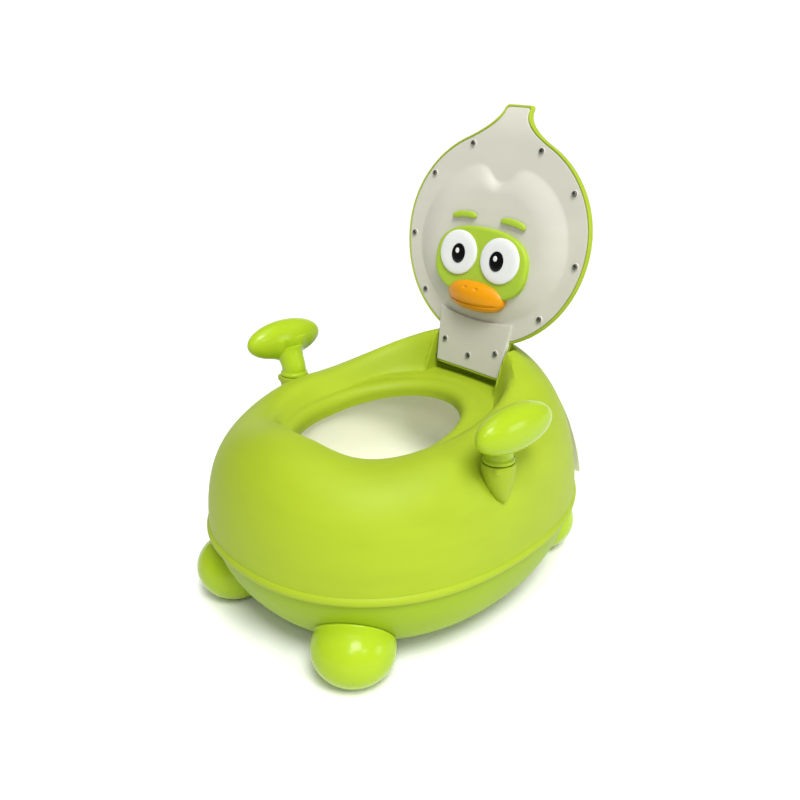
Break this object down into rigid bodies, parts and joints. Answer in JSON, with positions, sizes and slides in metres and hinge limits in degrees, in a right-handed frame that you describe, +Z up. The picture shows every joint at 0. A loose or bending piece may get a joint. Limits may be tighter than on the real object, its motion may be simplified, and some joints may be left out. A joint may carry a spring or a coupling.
{
  "type": "child's potty chair",
  "caption": "Moulded potty chair for toddlers on round feet, with side handles, a slide-out pot and a hinged lid that carries a bird face inside.",
  "frame": {"origin": "on the floor, under the middle of the chair's overall box", "axes": "+Z up, -Y to the front of the seat, +X to the sitter's left"},
  "size_m": [0.3402, 0.4002, 0.4494],
  "materials": {
    "body_green": "satin moulded polypropylene",
    "base_green": "satin moulded polypropylene",
    "gloss_green": "polished moulded plastic",
    "ivory_plastic": "fine satin",
    "pot_white": "satin",
    "eye_white": "gloss",
    "pupil_black": "gloss",
    "bill_orange": "satin gloss",
    "face_green": "satin",
    "rubber_pad": "matt",
    "screw_steel": "zinc plated"
  },
  "bodies": {
    "body": {"upper_shell": "body_green", "base_shell": "base_green", "foot_front_left": "gloss_green", "foot_front_right": "gloss_green", "foot_rear_left": "gloss_green", "foot_rear_right": "gloss_green", "foot_pad_front_left": "rubber_pad", "foot_pad_front_right": "rubber_pad", "foot_pad_rear_left": "rubber_pad", "foot_pad_rear_right": "rubber_pad", "foot_screw_front_left": "screw_steel", "foot_screw_front_right": "screw_steel", "foot_screw_rear_left": "screw_steel", "foot_screw_rear_right": "screw_steel", "shell_screw_front_left": "screw_steel", "shell_screw_front_right": "screw_steel", "shell_screw_middle_left": "screw_steel", "shell_screw_middle_right": "screw_steel", "shell_screw_rear_left": "screw_steel", "shell_screw_rear_right": "screw_steel", "handle_left": "gloss_green", "handle_right": "gloss_green", "hinge_pin": "screw_steel"},
    "lid": {"lid_outer_shell": "body_green", "lid_inner_panel": "ivory_plastic", "face_plate": "face_green", "eye_left": "eye_white", "eye_right": "eye_white", "pupil_left": "pupil_black", "pupil_right": "pupil_black", "brow_left": "face_green", "brow_right": "face_green", "beak": "bill_orange", "lid_rim_screw_1": "screw_steel", "lid_rim_screw_2": "screw_steel", "lid_rim_screw_3": "screw_steel", "lid_rim_screw_4": "screw_steel", "lid_rim_screw_5": "screw_steel", "lid_rim_screw_6": "screw_steel", "lid_rim_screw_7": "screw_steel", "lid_rim_screw_8": "screw_steel", "lid_neck_screw_1": "screw_steel", "lid_neck_screw_2": "screw_steel", "lid_neck_screw_3": "screw_steel"},
    "pot": {"pot_bowl": "pot_white", "pot_pull_plate": "pot_white", "pull_plate_screw_left": "screw_steel", "pull_plate_screw_right": "screw_steel"}
  },
  "joints": [
    {"name": "lid_hinge", "type": "hinge", "parent": "body", "child": "lid", "pos_m": [0, 0.07978, 0.2041], "axis": [1, 0, 0], "range_deg": [0, 101.5]},
    {"name": "pot_slide", "type": "slide", "parent": "body", "child": "pot", "axis": [0, 1, 0], "range_m": [0, 0.29]}
  ]
}
